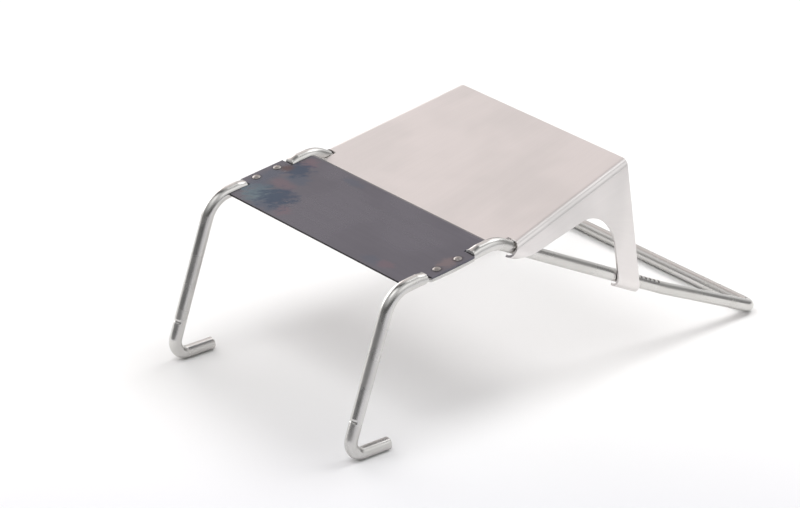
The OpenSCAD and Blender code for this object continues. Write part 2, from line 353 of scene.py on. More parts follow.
def new_group(name: str, inputs: dict[str, str], outputs: tuple[str, ...]) -> tuple[Graph, Socket, Socket]:
    """Starts a shader node group with two inputs.

    Args:
        name: Name of the group.
        inputs: Type of each input socket, by name.
        outputs: Names of the output sockets, all of them numbers.

    Returns:
        The group's graph and the sockets that give its two inputs.
    """
    tree = bpy.data.node_groups.new(name, "ShaderNodeTree")
    for label, kind in inputs.items():
        tree.interface.new_socket(label, in_out="INPUT", socket_type=kind)
    for label in outputs:
        tree.interface.new_socket(label, in_out="OUTPUT", socket_type="NodeSocketFloat")
    graph = Graph(tree)
    given = graph.node("NodeGroupInput").outputs
    return graph, given[0], given[1]


@dataclass
class SteelEffects:
    """Effects that the steel finishes share, each a node group built once.

    A noise field holds the noise's scale where that is fixed, its detail, its roughness, and its distortion where
    it has one.
    """

    line_scales: Pair = (1.0, 0.23)
    line_shares: Pair = (0.6, 0.4)
    line_noise: Pair = (2.0, 0.5)
    score_noise: Triple = (0.55, 1.0, 0.4)
    score_span: Pair = (0.64, 0.72)
    smear_noise: Triple = (2.0, 0.42, 0.4)
    smear_span: Pair = (0.36, 0.66)
    speck_finer: float = 6.0
    speck_noise: Pair = (2.0, 0.5)
    speck_span: Pair = (0.58, 0.8)
    lines: bpy.types.NodeTree = field(init=False)
    handling: bpy.types.NodeTree = field(init=False)

    def __post_init__(self) -> None:
        """Builds the groups."""
        self.lines = self.build_lines()
        self.handling = self.build_handling()

    def build_lines(self) -> bpy.types.NodeTree:
        """Fine lines along one direction: two noises on stretched places, and sparse deeper scores.

        Returns:
            The node group.
        """
        inputs = {"Place": "NodeSocketVector", "Stretch": "NodeSocketVector"}
        graph, place, stretch = new_group("steel_lines", inputs, ("Height", "Scores"))
        place = graph.vector("MULTIPLY", place, stretch)
        fine, coarse = (graph.math("MULTIPLY", graph.noise(place, scale, *self.line_noise), share)
                        for scale, share in zip(self.line_scales, self.line_shares))
        scores = graph.ramp(graph.noise(place, *self.score_noise), self.score_span)
        graph.node("NodeGroupOutput", {"Height": graph.math("ADD", fine, coarse), "Scores": scores})
        return graph.tree

    def build_handling(self) -> bpy.types.NodeTree:
        """Marks of use: soft cloudy smears, and small specks where the surface has dulled.

        Returns:
            The node group.
        """
        inputs = {"Place": "NodeSocketVector", "Scale": "NodeSocketFloat"}
        graph, place, scale = new_group("steel_handling", inputs, ("Smears", "Specks"))
        smears = graph.ramp(graph.noise(place, scale, *self.smear_noise), self.smear_span)
        finer = graph.math("MULTIPLY", scale, self.speck_finer)
        specks = graph.ramp(graph.noise(place, finer, *self.speck_noise), self.speck_span)
        graph.node("NodeGroupOutput", {"Smears": smears, "Specks": specks})
        return graph.tree


@dataclass(frozen=True)
class SteelFinish:
    """A steel surface: its colour and gloss, the lines of its making and the marks of its use."""

    name: str
    lay: Lay
    stretch: Triple
    bright: Colour
    dull: Colour
    gloss: Pair
    line_bump: float
    line_tone: float
    smear_scale: float
    line_span: Pair = (0.3, 0.7)
    line_depth: float = 0.1
    mark_rough: float = 0.03

    def start(self, effects: SteelEffects) -> tuple[bpy.types.Material, Graph, dict[str, Socket]]:
        """Builds the shared part of the finish.

        Args:
            effects: The shared node groups.

        Returns:
            The material, its graph, and the sockets that the rest of the finish may use or change.
        """
        material, graph = new_material(self.name)
        coordinates = graph.node("ShaderNodeTexCoord").outputs["Object"]
        place = coordinates
        if self.lay is not Lay.OBJECT:
            place = graph.node("ShaderNodeAttribute", attribute_name=self.lay.value).outputs["Vector"]
        inputs = {"Place": place, "Stretch": self.stretch}
        lines = graph.node("ShaderNodeGroup", inputs, node_tree=effects.lines).outputs
        inputs = {"Place": coordinates, "Scale": self.smear_scale}
        marks = graph.node("ShaderNodeGroup", inputs, node_tree=effects.handling).outputs
        colour = graph.mix(marks["Smears"], self.bright, self.dull)
        shade = graph.ramp(lines["Height"], self.line_span, (1.0 - self.line_tone, 1.0 + self.line_tone))
        grey = graph.node("ShaderNodeCombineColor", {0: shade, 1: shade, 2: shade}).outputs[0]
        colour = graph.mix(1.0, colour, grey, "MULTIPLY")
        rough = graph.ramp(marks["Smears"], (0.0, 1.0), self.gloss)
        for mark in (lines["Scores"], marks["Specks"]):
            rough = graph.math("ADD", rough, graph.math("MULTIPLY", mark, self.mark_rough))
        inputs = {"Strength": self.line_bump, "Distance": self.line_depth * MM, "Height": lines["Height"]}
        normal = graph.node("ShaderNodeBump", inputs).outputs[0]
        sockets = {
            "place": place, "lines": lines["Height"], "colour": colour, "rough": rough, "normal": normal
        }
        return material, graph, sockets

    def dress(self, graph: Graph, sockets: dict[str, Socket]) -> None:
        """Changes what is special in a finish. The plain one leaves all as it is."""

    def material(self, effects: SteelEffects) -> bpy.types.Material:
        """The finish: its shared part, what is special in it, and the metal shader.

        Args:
            effects: The shared node groups.

        Returns:
            The material.
        """
        material, graph, sockets = self.start(effects)
        self.dress(graph, sockets)
        graph.surface({"Base Color": sockets["colour"], "Roughness": sockets["rough"],
                       "Normal": sockets["normal"], "Metallic": 1.0})
        return material


@dataclass(frozen=True)
class WireFinish(SteelFinish):
    """Drawn wire with painted shade in its notches, where it is also rougher."""

    # Painted shade for the notches: its colour, the span and cover of its patchiness, and the added roughness.
    notch_shade: Colour = (0.09, 0.085, 0.08)
    notch_shade_span: Pair = (0.2, 0.6)
    notch_shade_cover: Pair = (0.7, 0.95)
    notch_rough: float = 0.25

    def dress(self, graph: Graph, sockets: dict[str, Socket]) -> None:
        """Darkens the wire by the mask of its notches, as painted shade, and makes it rougher there.

        Args:
            graph: The material's graph.
            sockets: The shared sockets, of which the colour and the roughness change.
        """
        notch_shade_mask = graph.node("ShaderNodeAttribute", attribute_name=NOTCH_SHADE_MASK).outputs["Fac"]
        cover = graph.ramp(sockets["lines"], self.notch_shade_span, self.notch_shade_cover)
        sockets["colour"] = graph.mix(graph.math("MULTIPLY", notch_shade_mask, cover), sockets["colour"], self.notch_shade)
        sockets["rough"] = graph.math("ADD", sockets["rough"], graph.math("MULTIPLY", notch_shade_mask, self.notch_rough))


@dataclass(frozen=True)
class TintPatch:
    """A patch of colour on the blade, placed from the middle of its front edge, in millimetres. Most are temper
    colours; the dark ones round the rivet heads are painted shadow.
    """

    middle: Pair
    reach: Pair
    colour: Colour
    depth: float
    fray: float = 2.6
    fade: Pair = (0.45, 1.15)

    def mask(self, graph: Graph, place: Socket, ragged: Socket) -> Socket:
        """Strength of the patch: it fades as the distance in units of the reach, frayed by noise, grows.

        Args:
            graph: The material's graph.
            place: Place on the blade, in metres.
            ragged: Noise that frays the patch's outline.

        Returns:
            The mask.
        """
        middle = (self.middle[0] * MM, self.middle[1] * MM, 0.0)
        scale = (1.0 / (self.reach[0] * MM), 1.0 / (self.reach[1] * MM), 0.0)
        off = graph.vector("MULTIPLY", graph.vector("SUBTRACT", place, middle), scale)
        fray = graph.math("MULTIPLY", graph.math("SUBTRACT", ragged, 0.5), self.fray)
        return graph.ramp(graph.math("ADD", graph.vector("LENGTH", off), fray), self.fade, (self.depth, 0.0))


@dataclass(frozen=True)
class BladeFinish(SteelFinish):
    """Dark spring steel with temper colours by the tabs, painted shadow round the rivet heads, a ground edge and
    a front edge painted near black.
    """

    tint_patches: tuple[TintPatch, ...] = ()
    feather: tuple[Triple, Triple] = ((0.36, 0.31, 0.0), (-0.64, 0.77, 0.0))
    feather_noise: Triple = (420.0, 7.0, 0.74)
    ground: Colour = (0.2, 0.19, 0.21)
    ground_span: Pair = (44.95 * MM, 45.05 * MM)
    # Near-black colour painted along the front edge, and the span that it covers.
    black: Colour = (0.02, 0.02, 0.022)
    black_span: Pair = (0.05 * MM, 0.22 * MM)

    def dress(self, graph: Graph, sockets: dict[str, Socket]) -> None:
        """Lays the temper colours and the painted rivet shadows over the plain steel, and gives both long edges
        their own tone.

        Args:
            graph: The material's graph.
            sockets: The shared sockets, of which the colour changes.
        """
        colour, place = sockets["colour"], sockets["place"]
        strokes = {key: graph.vector("DOT_PRODUCT", place, way) for key, way in enumerate(self.feather)}
        feather = graph.node("ShaderNodeCombineXYZ", strokes).outputs[0]
        ragged = graph.noise(feather, *self.feather_noise)
        for tint_patch in self.tint_patches:
            colour = graph.mix(tint_patch.mask(graph, place, ragged), colour, tint_patch.colour)
        along = graph.node("ShaderNodeSeparateXYZ", {0: place}).outputs[1]
        colour = graph.mix(graph.ramp(along, self.ground_span), colour, self.ground)
        # The front edge is painted near black.
        sockets["colour"] = graph.mix(graph.ramp(along, self.black_span, (1.0, 0.0)), colour, self.black)


@dataclass(frozen=True)
class PaperFinish:
    """Matt white paper for the floor, with painted shade: its colour darkens a little towards the camera, and
    more far out all round.
    """

    name: str = "matt_white_paper"
    tones: tuple[Colour, Colour] = ((0.88, 0.877, 0.873), (0.9, 0.897, 0.893))
    cloud_noise: Triple = (1.5, 2.0, 0.55)
    near_way: Triple = (0.775, -0.632, 0.0)
    near_span: Pair = (0.03, 0.22)
    # Painted shade towards the camera, and far out all round.
    near_shade: Colour = (0.735, 0.735, 0.765)
    outer_span: Pair = (0.52, 1.1)
    outer_shade: Colour = (0.55, 0.555, 0.57)
    rough: float = 0.7
    specular: float = 0.2

    def material(self) -> bpy.types.Material:
        """The paper: a faint cloud of two tones, then the painted shade towards the camera, then the painted
        shade far out.

        Returns:
            The material.
        """
        material, graph = new_material(self.name)
        place = graph.node("ShaderNodeTexCoord").outputs["Object"]
        colour = graph.mix(graph.noise(place, *self.cloud_noise), *self.tones)
        near = graph.vector("DOT_PRODUCT", place, self.near_way)
        # Painted shade: darker towards the camera, then far out.
        colour = graph.mix(graph.ramp(near, self.near_span), colour, self.near_shade)
        away = graph.vector("LENGTH", place)
        colour = graph.mix(graph.ramp(away, self.outer_span), colour, self.outer_shade)
        graph.surface({"Base Color": colour, "Roughness": self.rough, "Specular IOR Level": self.specular})
        return material


TEAL, BLUE, PALE_BLUE = (0.155, 0.225, 0.255), (0.05, 0.077, 0.125), (0.105, 0.125, 0.165)
# PINK and BROWN are temper colours; the last colour on the next line is painted shadow for round the rivet heads.
PINK, BROWN, RIVET_SHADOW = (0.2, 0.14, 0.165), (0.11, 0.07, 0.07), (0.055, 0.05, 0.055)
TAN = (0.23, 0.185, 0.19)
BLOOMS_AND_RIVET_SHADOWS = (
    TintPatch((-54.0, 13.0), (7.0, 6.0), PALE_BLUE, 0.8),
    TintPatch((-57.0, 22.5), (5.0, 7.0), PALE_BLUE, 0.75),
    TintPatch((-44.8, 27.1), (7.5, 5.0), PALE_BLUE, 0.8),
    TintPatch((-45.9, 20.5), (8.0, 4.2), PINK, 0.5),
    TintPatch((-28.5, 5.7), (5.5, 4.5), PINK, 0.5),
    TintPatch((-52.0, 39.5), (5.5, 4.5), PINK, 0.6),
    TintPatch((-46.0, 8.5), (12.0, 8.0), TEAL, 0.85),
    TintPatch((-37.5, 4.6), (9.0, 5.5), PALE_BLUE, 0.85),
    TintPatch((-43.0, 10.0), (12.0, 7.5), BLUE, 0.4, 4.4),
    TintPatch((-38.5, 11.8), (10.5, 8.0), BLUE, 0.85, 3.2),
    TintPatch((-50.8, 32.6), (7.5, 6.5), BLUE, 0.85, 3.0),
    TintPatch((-56.0, 30.5), (3.4, 3.4), BROWN, 0.8),
    TintPatch((-24.0, 41.0), (8.0, 2.6), PALE_BLUE, 0.55),
    TintPatch((34.0, 4.2), (6.0, 3.6), PALE_BLUE, 0.5),
    TintPatch((41.0, 5.5), (5.0, 3.0), PINK, 0.5),
    TintPatch((59.0, 23.3), (4.2, 5.0), TAN, 0.7),
    # Painted shadow round each rivet head.
    *(TintPatch((x, y), (2.7, 2.7), RIVET_SHADOW, 0.75, 0.8) for x in (-60.0, 60.0) for y in (16.9, 28.1)),
)
WIRE_STEEL = WireFinish(
    name="drawn_wire", lay=Lay.WIRE, stretch=(1500.0, 1500.0, 18.0), bright=(0.66, 0.65, 0.635),
    dull=(0.61, 0.6, 0.58), gloss=(0.22, 0.3), line_bump=0.03, line_tone=0.02, smear_scale=60.0)
PLATE_STEEL = SteelFinish(
    name="rolled_sheet", lay=Lay.SHEET, stretch=(1100.0, 20.0, 1100.0), bright=(0.775, 0.745, 0.735),
    dull=(0.725, 0.7, 0.69), gloss=(0.29, 0.325), line_bump=0.02, line_tone=0.012, smear_scale=34.0)
BLADE_STEEL = BladeFinish(
    name="tempered_blade", lay=Lay.BAR, stretch=(30.0, 1100.0, 1100.0), bright=(0.15, 0.148, 0.175),
    dull=(0.137, 0.135, 0.16), gloss=(0.265, 0.305), line_bump=0.04, line_tone=0.03, smear_scale=30.0,
    tint_patches=BLOOMS_AND_RIVET_SHADOWS)
RIVET_STEEL = SteelFinish(
    name="rivet_steel", lay=Lay.OBJECT, stretch=(900.0, 900.0, 900.0), bright=(0.43, 0.4, 0.385),
    dull=(0.34, 0.315, 0.3), gloss=(0.4, 0.52), line_bump=0.2, line_tone=0.05, smear_scale=260.0)


def fit(piece: bpy.types.Object, material: bpy.types.Material, body: str, slot: str, *nodes: str) -> None:
    """Dresses a piece, puts it on its body, and hides the CAD nodes that it replaces.

    Args:
        piece: The piece.
        material: Its finish.
        body: The body that carries it.
        slot: The record's material slot; not used.
        nodes: The CAD nodes that it replaces.
    """
    piece.data.materials.append(material)
    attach(piece, body)
    if nodes:
        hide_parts(*nodes)
    LOG.info("%s: %d points on %s", piece.name, len(piece.data.vertices), body)


@dataclass(frozen=True)
class Incline:
    """A frame tilted in side view: y runs along the slope from its origin, and z is square to the slope."""

    origin: Pair
    slope: float
    mid_y: float

    def place(self, points: Array) -> Array:
        """Turns points of this frame by its slope about X and moves them to the part's frame.

        Args:
            points: Points of this frame, x, y, z in the last axis.

        Returns:
            The same points in the part's frame.
        """
        x, y, z = np.moveaxis(points, -1, 0)
        c, s = cosd(self.slope), sind(self.slope)
        level = self.origin[0] - self.mid_y + y * c - z * s
        return np.stack([x, level, self.origin[1] + y * s + z * c], axis=-1)


@dataclass
class WireStand:
    """The stand: one round wire, bent into feet, legs, blade rails, notched rails and a cross bar."""

    wire_r: float = 2.75
    rail_x: float = 60.0
    foot_len: float = 22.0
    leg_lean: float = 19.3
    leg_h: float = 69.5
    blade_rail_len: float = 55.0
    blade_tilt: float = 7.0
    rail_len: float = 106.0
    rail_slope: float = 27.2
    tail_slope: float = 24.7
    bend_radii: tuple[float, ...] = (6.0, 13.0, 15.0, 40.0)
    corner_r: float = 5.0
    seat_mid: float = 29.6
    seat_half: float = 11.6
    seat_w: float = 8.4
    seat_t: float = 1.8
    seat_arc_r: float = 118.3
    seat_gap: float = 0.02
    seat_knee: float = 1.9
    seat_ends: Triple = (11.66, 12.25, 16.0)
    seat_under: Pair = (0.2, 1.9)
    seat_side: Pair = (-0.35, 0.1)
    seat_pull: float = 12.0
    arc_reach: float = 20.0
    rivet_off: float = 5.6
    notch_first: float = 80.9
    notch_pitch: float = 2.8
    notch_count: int = 8
    notch_w: float = 1.0
    notch_depth: float = 0.8
    notch_end: float = 1.38
    notch_rise: float = 1.8
    notch_run: float = 0.8
    nick_z: float = 18.0
    nick_half: float = 0.85
    nick_depth: float = 0.2
    nick_reach: float = 55.0
    nick_fade: Pair = (-12.0, 6.0)
    # Points round the wire, and the rings of points along it
    round_points: int = 64
    stretch_rings: int = 22
    seat_marks: Triple = (11.4, 12.6, 17.0)
    seat_rings: tuple[int, int, int] = (77, 19, 15)
    nick_span: float = 1.25
    nick_rings: int = 21
    notch_rings: tuple[float, ...] = (-0.3, -0.01, 0.01, 0.25, 0.5, 0.75, 0.99, 1.01, 1.2, 1.37, 1.39, 1.7)
    tip_rings: tuple[float, ...] = (0.0, 0.0, 0.0, 0.05, 0.2, 0.42, 0.55, 0.75)
    tip_shares: tuple[float, ...] = (0.0, 0.5, 0.78, 0.84, 0.9, 0.975, 0.995, 1.0)
    tip_end: float = 1.0
    corner_rings: int = 14
    bar_rings: int = 12
    crease: float = 32.0
    corners: Array = field(init=False)
    mid_y: float = field(init=False)

    def __post_init__(self) -> None:
        """Works out the corners of the wire's axis in side view and the middle of the footprint."""
        leg_top = np.array([(self.leg_h - self.wire_r) * tand(self.leg_lean), self.leg_h])
        crest = leg_top + self.blade_rail_len * np.array([cosd(self.blade_tilt), sind(self.blade_tilt)])
        rail_end = crest + self.rail_len * np.array([cosd(self.rail_slope), -sind(self.rail_slope)])
        rear_y = rail_end[0] + (rail_end[1] - self.wire_r) / tand(self.tail_slope)
        self.corners = np.array([
            [self.foot_len, self.wire_r], [0.0, self.wire_r], leg_top, crest, rail_end, [rear_y, self.wire_r]
        ])
        front_y = self.setbacks()[0] - self.bend_radii[0] - self.wire_r
        self.mid_y = (front_y + rear_y + self.wire_r) / 2

    def headings(self) -> Array:
        """Direction of each straight in side view, in radians, from the foot to the rear."""
        runs = np.diff(self.corners, axis=0)
        return np.arctan2(runs[:, 1], runs[:, 0])

    def turns(self) -> Array:
        """Turn at each bend, in radians, between -180 and 180 degrees."""
        swing = np.diff(self.headings())
        return (swing + np.pi) % (2 * np.pi) - np.pi

    def setbacks(self) -> Array:
        """Distance from each corner to the ends of its bend: radius times the tangent of half the turn."""
        return np.array(self.bend_radii) * np.tan(np.abs(self.turns()) / 2)

    def blade_rail(self) -> Incline:
        """Frame of the blade rail, from the corner over the leg."""
        return Incline(tuple(self.corners[2]), self.blade_tilt, self.mid_y)

    def rail(self) -> Incline:
        """Frame of the notched rail, from the crest."""
        return Incline(tuple(self.corners[3]), -self.rail_slope, self.mid_y)

    def chain(self) -> tuple[Array, Array, Array, Array]:
        """Splits the side-view axis into straights and arcs.

        Returns:
            The start length, start place, start heading and curvature of each stretch, with the end of the
            last one as a further start length.
        """
        headings, turns, back = self.headings(), self.turns(), self.setbacks()
        units = np.stack([np.cos(headings), np.sin(headings)], axis=-1)
        runs = np.linalg.norm(np.diff(self.corners, axis=0), axis=1)
        skip_a = np.concatenate([[0.0], back])
        skip_b = np.concatenate([back, [self.corner_r]])
        straight = runs - skip_a - skip_b
        arcs = np.abs(turns) * np.array(self.bend_radii)
        lengths = np.zeros(2 * len(runs) - 1)
        lengths[0::2], lengths[1::2] = straight, arcs
        places = np.zeros((len(lengths), 2))
        places[0::2] = self.corners[:-1] + skip_a[:, None] * units
        places[1::2] = self.corners[1:-1] - back[:, None] * units[:-1]
        starts = np.repeat(headings, 2)[:-1]
        curve = np.zeros(len(lengths))
        curve[1::2] = np.sign(turns) / np.array(self.bend_radii)
        return np.concatenate([[0.0], np.cumsum(lengths)]), places, starts, curve

    def stations(self) -> tuple[Array, Array, dict[str, float]]:
        """Chooses where along the side-view axis the wire gets a ring of points.

        Returns:
            Lengths along the axis, the share of the wire's radius at each, and the lengths at which the
            nick, the leg corner's end of the blade rail and the crest lie.
        """
        ends, _, _, _ = self.chain()
        back = self.setbacks()
        marks = {
            "nick": ends[2] - back[0] + (self.nick_z - self.wire_r) / cosd(self.leg_lean),
            "blade_rail": ends[4] - back[1],
            "rail": ends[6] - back[2],
        }
        spread = np.concatenate([np.linspace(a, b, self.stretch_rings) for a, b in zip(ends[:-1], ends[1:])])
        (flat, knee, taper), (n_flat, n_knee, n_taper) = self.seat_marks, self.seat_rings
        ends_off = np.concatenate([np.linspace(flat, knee, n_knee), np.linspace(knee, taper, n_taper)])
        seat_off = np.concatenate([-ends_off, np.linspace(-flat, flat, n_flat), ends_off])
        seat = marks["blade_rail"] + self.seat_mid + seat_off
        nick = marks["nick"] + np.linspace(-self.nick_span, self.nick_span, self.nick_rings) * self.nick_half
        foot = self.notch_first + self.notch_pitch * np.arange(self.notch_count)
        notch = marks["rail"] + (foot[:, None] + np.array(self.notch_rings) * self.notch_w).ravel()
        places = np.unique(np.round(np.concatenate([spread[spread > self.tip_end], seat, nick, notch]), 4))
        shares = np.concatenate([self.tip_shares, np.ones(len(places))])
        return np.concatenate([self.tip_rings, places]), shares, marks

    def sections(self, along: Array, share: Array, marks: dict[str, float]) -> tuple[Array, Array, Array]:
        """Section of the wire at each station: a circle, pressed into a stadium at the seat.

        The circle of half height h is pulled apart sideways by (w - h) on each half, and its middle drops
        to the pressed flat. At the ends of the seat the top rises steeply to a knee and then in a taper.
        Notches cut the section off at a height above the axis. The nick takes a parabola's depth off the
        radius, over a band round the leg's front.

        Args:
            along: Lengths along the axis.
            share: Share of the wire's radius at each length.
            marks: Lengths at which the features start.

        Returns:
            Distance across and distance up from the axis, and whether a notch cuts the point, one row of
            points for each station.
        """
        r = self.wire_r
        off = np.abs(along - marks["blade_rail"] - self.seat_mid)
        top = np.interp(off, self.seat_ends, (-self.seat_gap, self.seat_knee, r))
        under, side = self.seat_half + np.array([self.seat_under, self.seat_side])
        low = -self.seat_t - (r - self.seat_t) * blend_step(*under, off)
        bow = np.sqrt(self.seat_arc_r**2 - np.minimum(off, self.arc_reach) ** 2)
        arc = self.seat_w / 2 - self.seat_arc_r + bow
        wide = r + (arc - r) * (1.0 - blend_step(*side, off))
        high, middle = (top - low) / 2, (top + low) / 2
        angle = circle(self.round_points)
        pull = np.clip(np.cos(angle) * self.seat_pull, -1.0, 1.0)
        across = high[:, None] * np.cos(angle) + (wide - high)[:, None] * pull
        up = middle[:, None] + high[:, None] * np.sin(angle)
        past = (along - marks["rail"] - self.notch_first) / self.notch_w
        tooth = past - np.floor(past / self.notch_pitch) * self.notch_pitch
        inside = (past >= 0.0) & (past < self.notch_count * self.notch_pitch) & (tooth < self.notch_end)
        floor = r - self.notch_depth + np.maximum(tooth - 1.0, 0.0) * self.notch_rise / self.notch_run
        cut = np.where(inside, np.minimum(floor, r), r)[:, None]
        notched = up > cut + TINY
        up = np.minimum(up, cut)
        dip = np.maximum(1.0 - ((along - marks["nick"]) / self.nick_half) ** 2, 0.0)
        fade = self.nick_reach + np.array(self.nick_fade)
        band = 1.0 - blend_step(*fade, np.abs(np.degrees(angle) - 90.0))
        share = share[:, None] - self.nick_depth / r * dip[:, None] * band
        return across * share, up * share, notched

    def axis(self, along: Array) -> tuple[Array, Array, Array]:
        """Side-view axis of the left half, turned into the row frame, with the rear corner and cross bar.

        On a stretch of curvature k the heading is h0 + k s and the place is its integral. The rear corner is
        an arc in the plane of the rail's last stretch, and the cross bar runs along X to the middle.

        Args:
            along: Lengths along the side-view axis.

        Returns:
            Places, up vectors and across vectors, one row for each station.
        """
        ends, places, starts, curve = self.chain()
        index = np.clip(np.searchsorted(ends, along, side="right") - 1, 0, len(curve) - 1)
        run, k, h0 = along - ends[index], curve[index], starts[index]
        safe = np.where(k == 0.0, 1.0, k)
        heading = h0 + k * run
        dy = np.where(k == 0.0, run * np.cos(h0), (np.sin(heading) - np.sin(h0)) / safe)
        dz = np.where(k == 0.0, run * np.sin(h0), (np.cos(h0) - np.cos(heading)) / safe)
        flat = places[index] + np.stack([dy, dz], axis=-1)
        zero = np.zeros(len(along))
        side = np.stack([zero - self.rail_x, flat[:, 0] - self.mid_y, flat[:, 1]], axis=-1)
        side_up = np.stack([zero, -np.sin(heading), np.cos(heading)], axis=-1)
        side_across = np.stack([zero + 1.0, zero, zero], axis=-1)
        tail = np.array([0.0, cosd(self.tail_slope), -sind(self.tail_slope)])
        up = np.array([0.0, sind(self.tail_slope), cosd(self.tail_slope)])
        cross = np.array([1.0, 0.0, 0.0])
        swing = np.linspace(0.0, np.pi / 2, self.corner_rings)[1:, None]
        rear_y, rear_z = self.corners[-1]
        corner = np.array([-self.rail_x, rear_y - self.mid_y, rear_z])
        bend = corner + self.corner_r * ((np.sin(swing) - 1.0) * tail + (1.0 - np.cos(swing)) * cross)
        bend_across = np.cos(swing) * cross - np.sin(swing) * tail
        bar_x = np.linspace(-self.rail_x + self.corner_r, 0.0, self.bar_rings)[1:, None]
        bar = np.array([0.0, corner[1], corner[2]]) + bar_x * cross
        place = np.concatenate([side, bend, bar])
        ups = np.concatenate([side_up, np.broadcast_to(up, (len(bend) + len(bar), 3))])
        acrosses = np.concatenate([side_across, bend_across, np.broadcast_to(-tail, (len(bar), 3))])
        return place, ups, acrosses

    def build(self) -> bpy.types.Object:
        """Carries the section along the axis of the left half, mirrors it and joins both at the cross bar.

        Returns:
            The wire as one closed tube.
        """
        along, share, marks = self.stations()
        across, up, notched = self.sections(along, share, marks)
        place, ups, acrosses = self.axis(along)
        extra = len(place) - len(along)
        angle = circle(self.round_points)
        turn = self.wire_r * np.stack([np.cos(angle), np.sin(angle)])
        ring = np.broadcast_to(turn, (extra, 2, len(angle)))
        across = np.concatenate([across, ring[:, 0]])[:, :, None]
        up = np.concatenate([up, ring[:, 1]])[:, :, None]
        notched = np.concatenate([notched, np.zeros(ring[:, 0].shape, bool)])
        half = place[:, None] + across * acrosses[:, None] + up * ups[:, None]
        mirrored = half[-2::-1] * MIRROR
        points = np.concatenate([half, mirrored])
        length = np.concatenate([[0.0], np.cumsum(np.linalg.norm(np.diff(place, axis=0), axis=1))])
        length = np.concatenate([length, 2 * length[-1] - length[-2::-1]])
        rings = np.broadcast_to(length[:, None, None], points.shape[:2] + (1,))
        lay = np.concatenate([np.broadcast_to(turn.T, points.shape[:2] + (2,)), rings], axis=-1)
        quads = grid_faces(len(points), self.round_points, wrap=True)[:, ::-1]
        flat = points.reshape(-1, 3)
        first, quads, tris = weld(flat, quads)
        piece = add_piece("stand_wire", flat[first], quads, tris)
        add_pattern(piece, Lay.WIRE.value, lay.reshape(-1, 3)[first])
        # The notch mask, where the wire's finish paints shade.
        add_mask(piece, NOTCH_SHADE_MASK, np.concatenate([notched, notched[-2::-1]]).reshape(-1)[first])
        piece.data.set_sharp_from_angle(angle=np.radians(self.crease))
        return piece

    def dress(self, effects: SteelEffects) -> None:
        """Adds the wire in its finish."""
        fit(self.build(), WIRE_STEEL.material(effects), "stand", "wire_steel", "wire_frame")


@dataclass
class Blade:
    """The blade: a flat bar with a ground cutting edge to the rear and a tab at each end."""

    rail: Incline
    front: float = 7.1
    width: float = 46.5
    thickness: float = 0.8
    half: float = 57.0
    tab_half: float = 63.8
    tab_from: float = 11.2
    tab_to: float = 33.8
    bevel_w: float = 1.6
    edge_t: float = 0.15
    edge_break: Pair = (0.08, 15.0)
    # Rows and columns of points
    band_rows: int = 8
    bar_columns: int = 25
    tab_columns: int = 4

    def surface(self, x: Array, y: Array, top: bool) -> Array:
        """Top or underside on a grid: flat, with the top falling in a straight line over the ground edge.

        Args:
            x: Places across.
            y: Places from the front edge to the cutting edge.
            top: Whether the top is wanted.

        Returns:
            Points in the blade rail's frame, one row for each y.
        """
        gx, gy = np.meshgrid(x, y)
        fall = np.clip((gy - self.width + self.bevel_w) / self.bevel_w, 0.0, 1.0)
        height = self.thickness - fall * (self.thickness - self.edge_t) if top else np.zeros_like(gx)
        return np.stack([gx, self.front + gy, height], axis=-1)

    def build(self) -> bpy.types.Object:
        """Joins the grids of the bar and of its tabs, top and underside, with walls along the outline.

        Returns:
            The blade as one closed piece.
        """
        cut = [0.0, self.tab_from, self.tab_to, self.width - self.bevel_w, self.width]
        bands = [np.linspace(a, b, self.band_rows) for a, b in zip(cut[:-1], cut[1:])]
        rows = np.unique(np.concatenate(bands))
        tab_rows = rows[(rows >= self.tab_from - TINY) & (rows <= self.tab_to + TINY)]
        bar = np.linspace(-self.half, self.half, self.bar_columns)
        tab = np.linspace(self.half, self.tab_half, self.tab_columns)
        patches = [(bar, rows), (tab, tab_rows), (-tab[::-1], tab_rows)]
        sides, quads, start = [], [], 0
        for x, y in patches:
            pair = [self.surface(x, y, top).reshape(-1, 3) for top in (True, False)]
            sides.append(np.hstack(pair))
            quads.append(grid_faces(len(y), len(x), start=start))
            start += len(pair[0])
        both = np.concatenate(sides)
        first, quads, tris = weld(both, np.concatenate(quads))
        top, under = both[first, :3], both[first, 3:]
        piece = close_sheet("slicing_blade", self.rail.place(top), self.rail.place(under), quads, tris)
        add_pattern(piece, Lay.BAR.value, np.concatenate([top, under]) - np.array([0.0, self.front, 0.0]))
        break_edges(piece, *self.edge_break)
        return piece

    def dress(self, effects: SteelEffects) -> None:
        """Adds the blade in its finish."""
        fit(self.build(), BLADE_STEEL.material(effects), "stand", "blade_steel", "blade")


